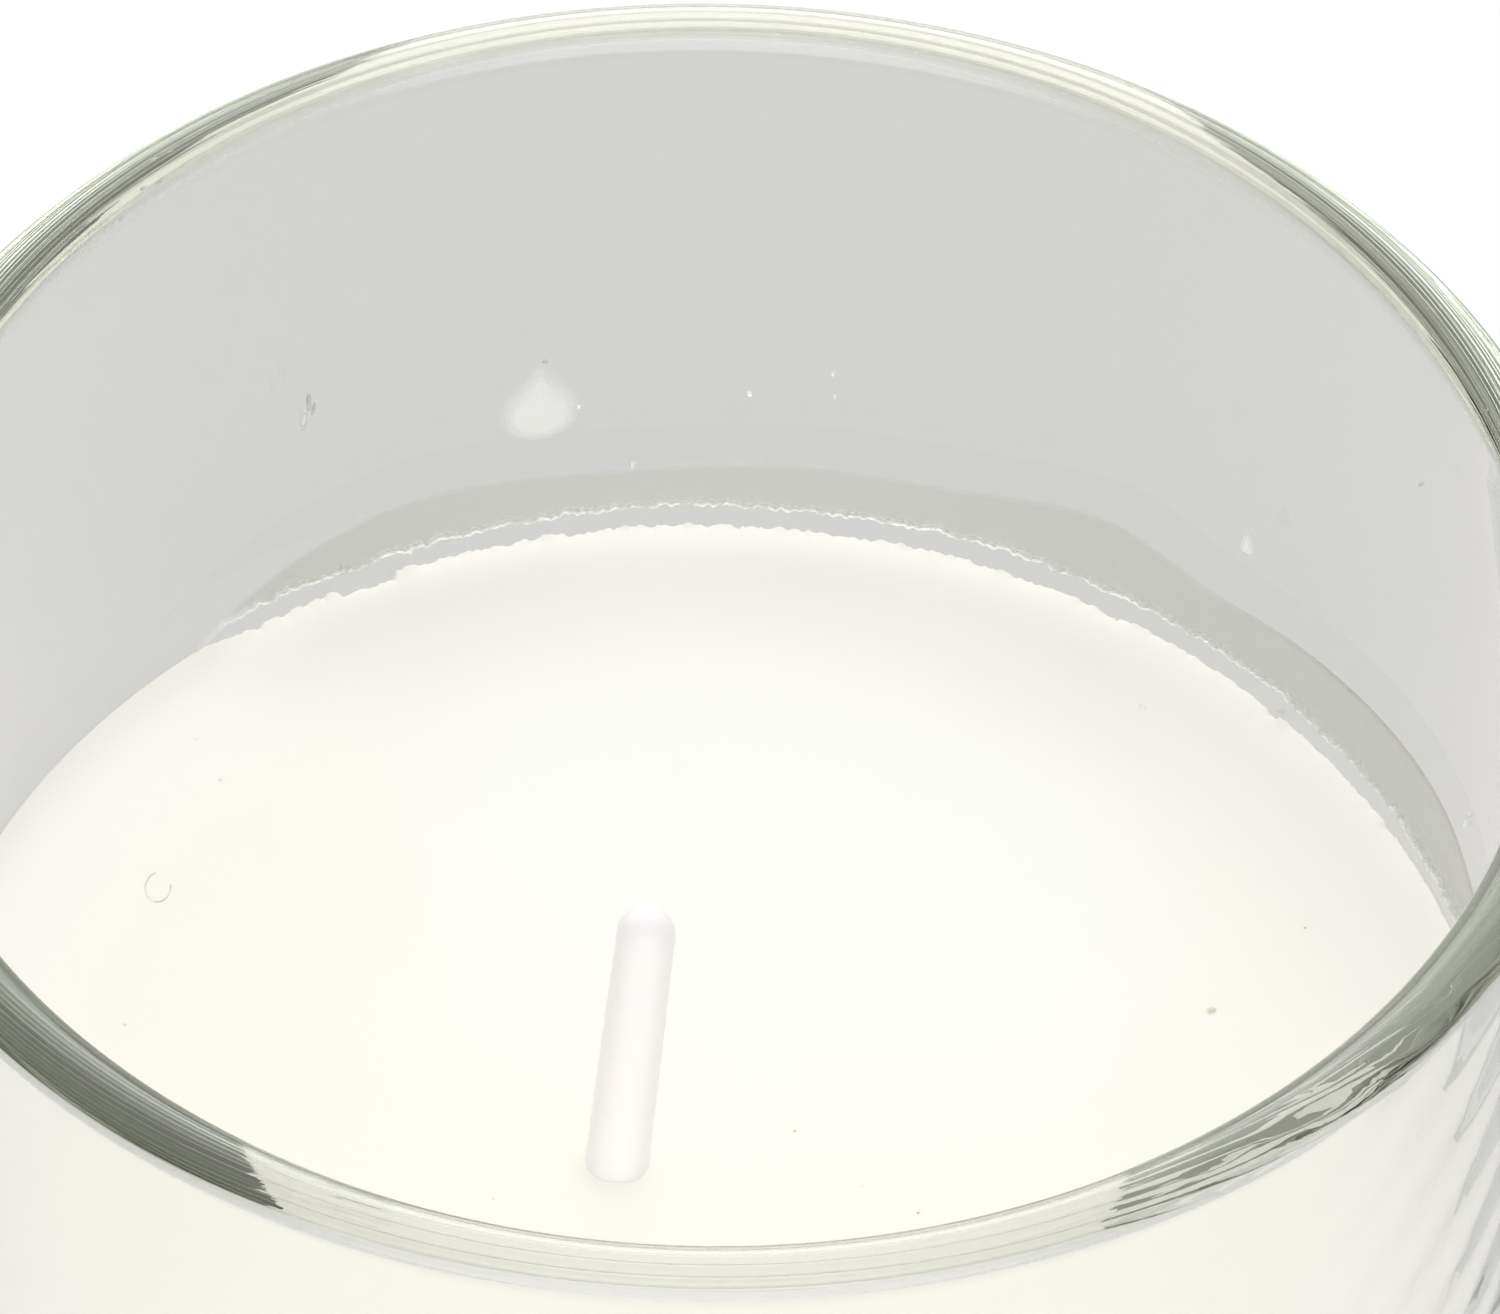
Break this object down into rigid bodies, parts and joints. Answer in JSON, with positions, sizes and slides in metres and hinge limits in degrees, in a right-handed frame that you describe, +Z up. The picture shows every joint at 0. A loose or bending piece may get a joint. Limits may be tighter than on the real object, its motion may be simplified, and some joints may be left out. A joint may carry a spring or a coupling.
{
  "type": "scented candle",
  "caption": "Poured wax candle in a clear glass tumbler with a rounded lip, a leaning waxed wick on a steel tab, and dried wax film and drops on the inside wall.",
  "frame": {"origin": "on the jar's axis, at the level of the surface it stands on", "axes": "+Z up along the jar's axis, through its open mouth; +X and +Y level, with the wick leaning towards +X and the large wax drop on the +Y side"},
  "size_m": [0.08, 0.08, 0.09],
  "materials": {
    "clear_glass": "clear, fire-polished, smooth",
    "cream_wax": "satin, slightly translucent",
    "waxed_cotton": "smooth coat of wax over a braid",
    "tab_steel": "bright stamped sheet",
    "adhesive_foam": "matt foam",
    "thin_wax": "thin, translucent, satin"
  },
  "bodies": {
    "root": {"jar": "clear_glass", "wax": "cream_wax", "wick": "waxed_cotton", "wick_tab": "tab_steel", "wick_sticker": "adhesive_foam", "wax_film": "thin_wax", "wax_drops": "thin_wax"}
  },
  "joints": []
}
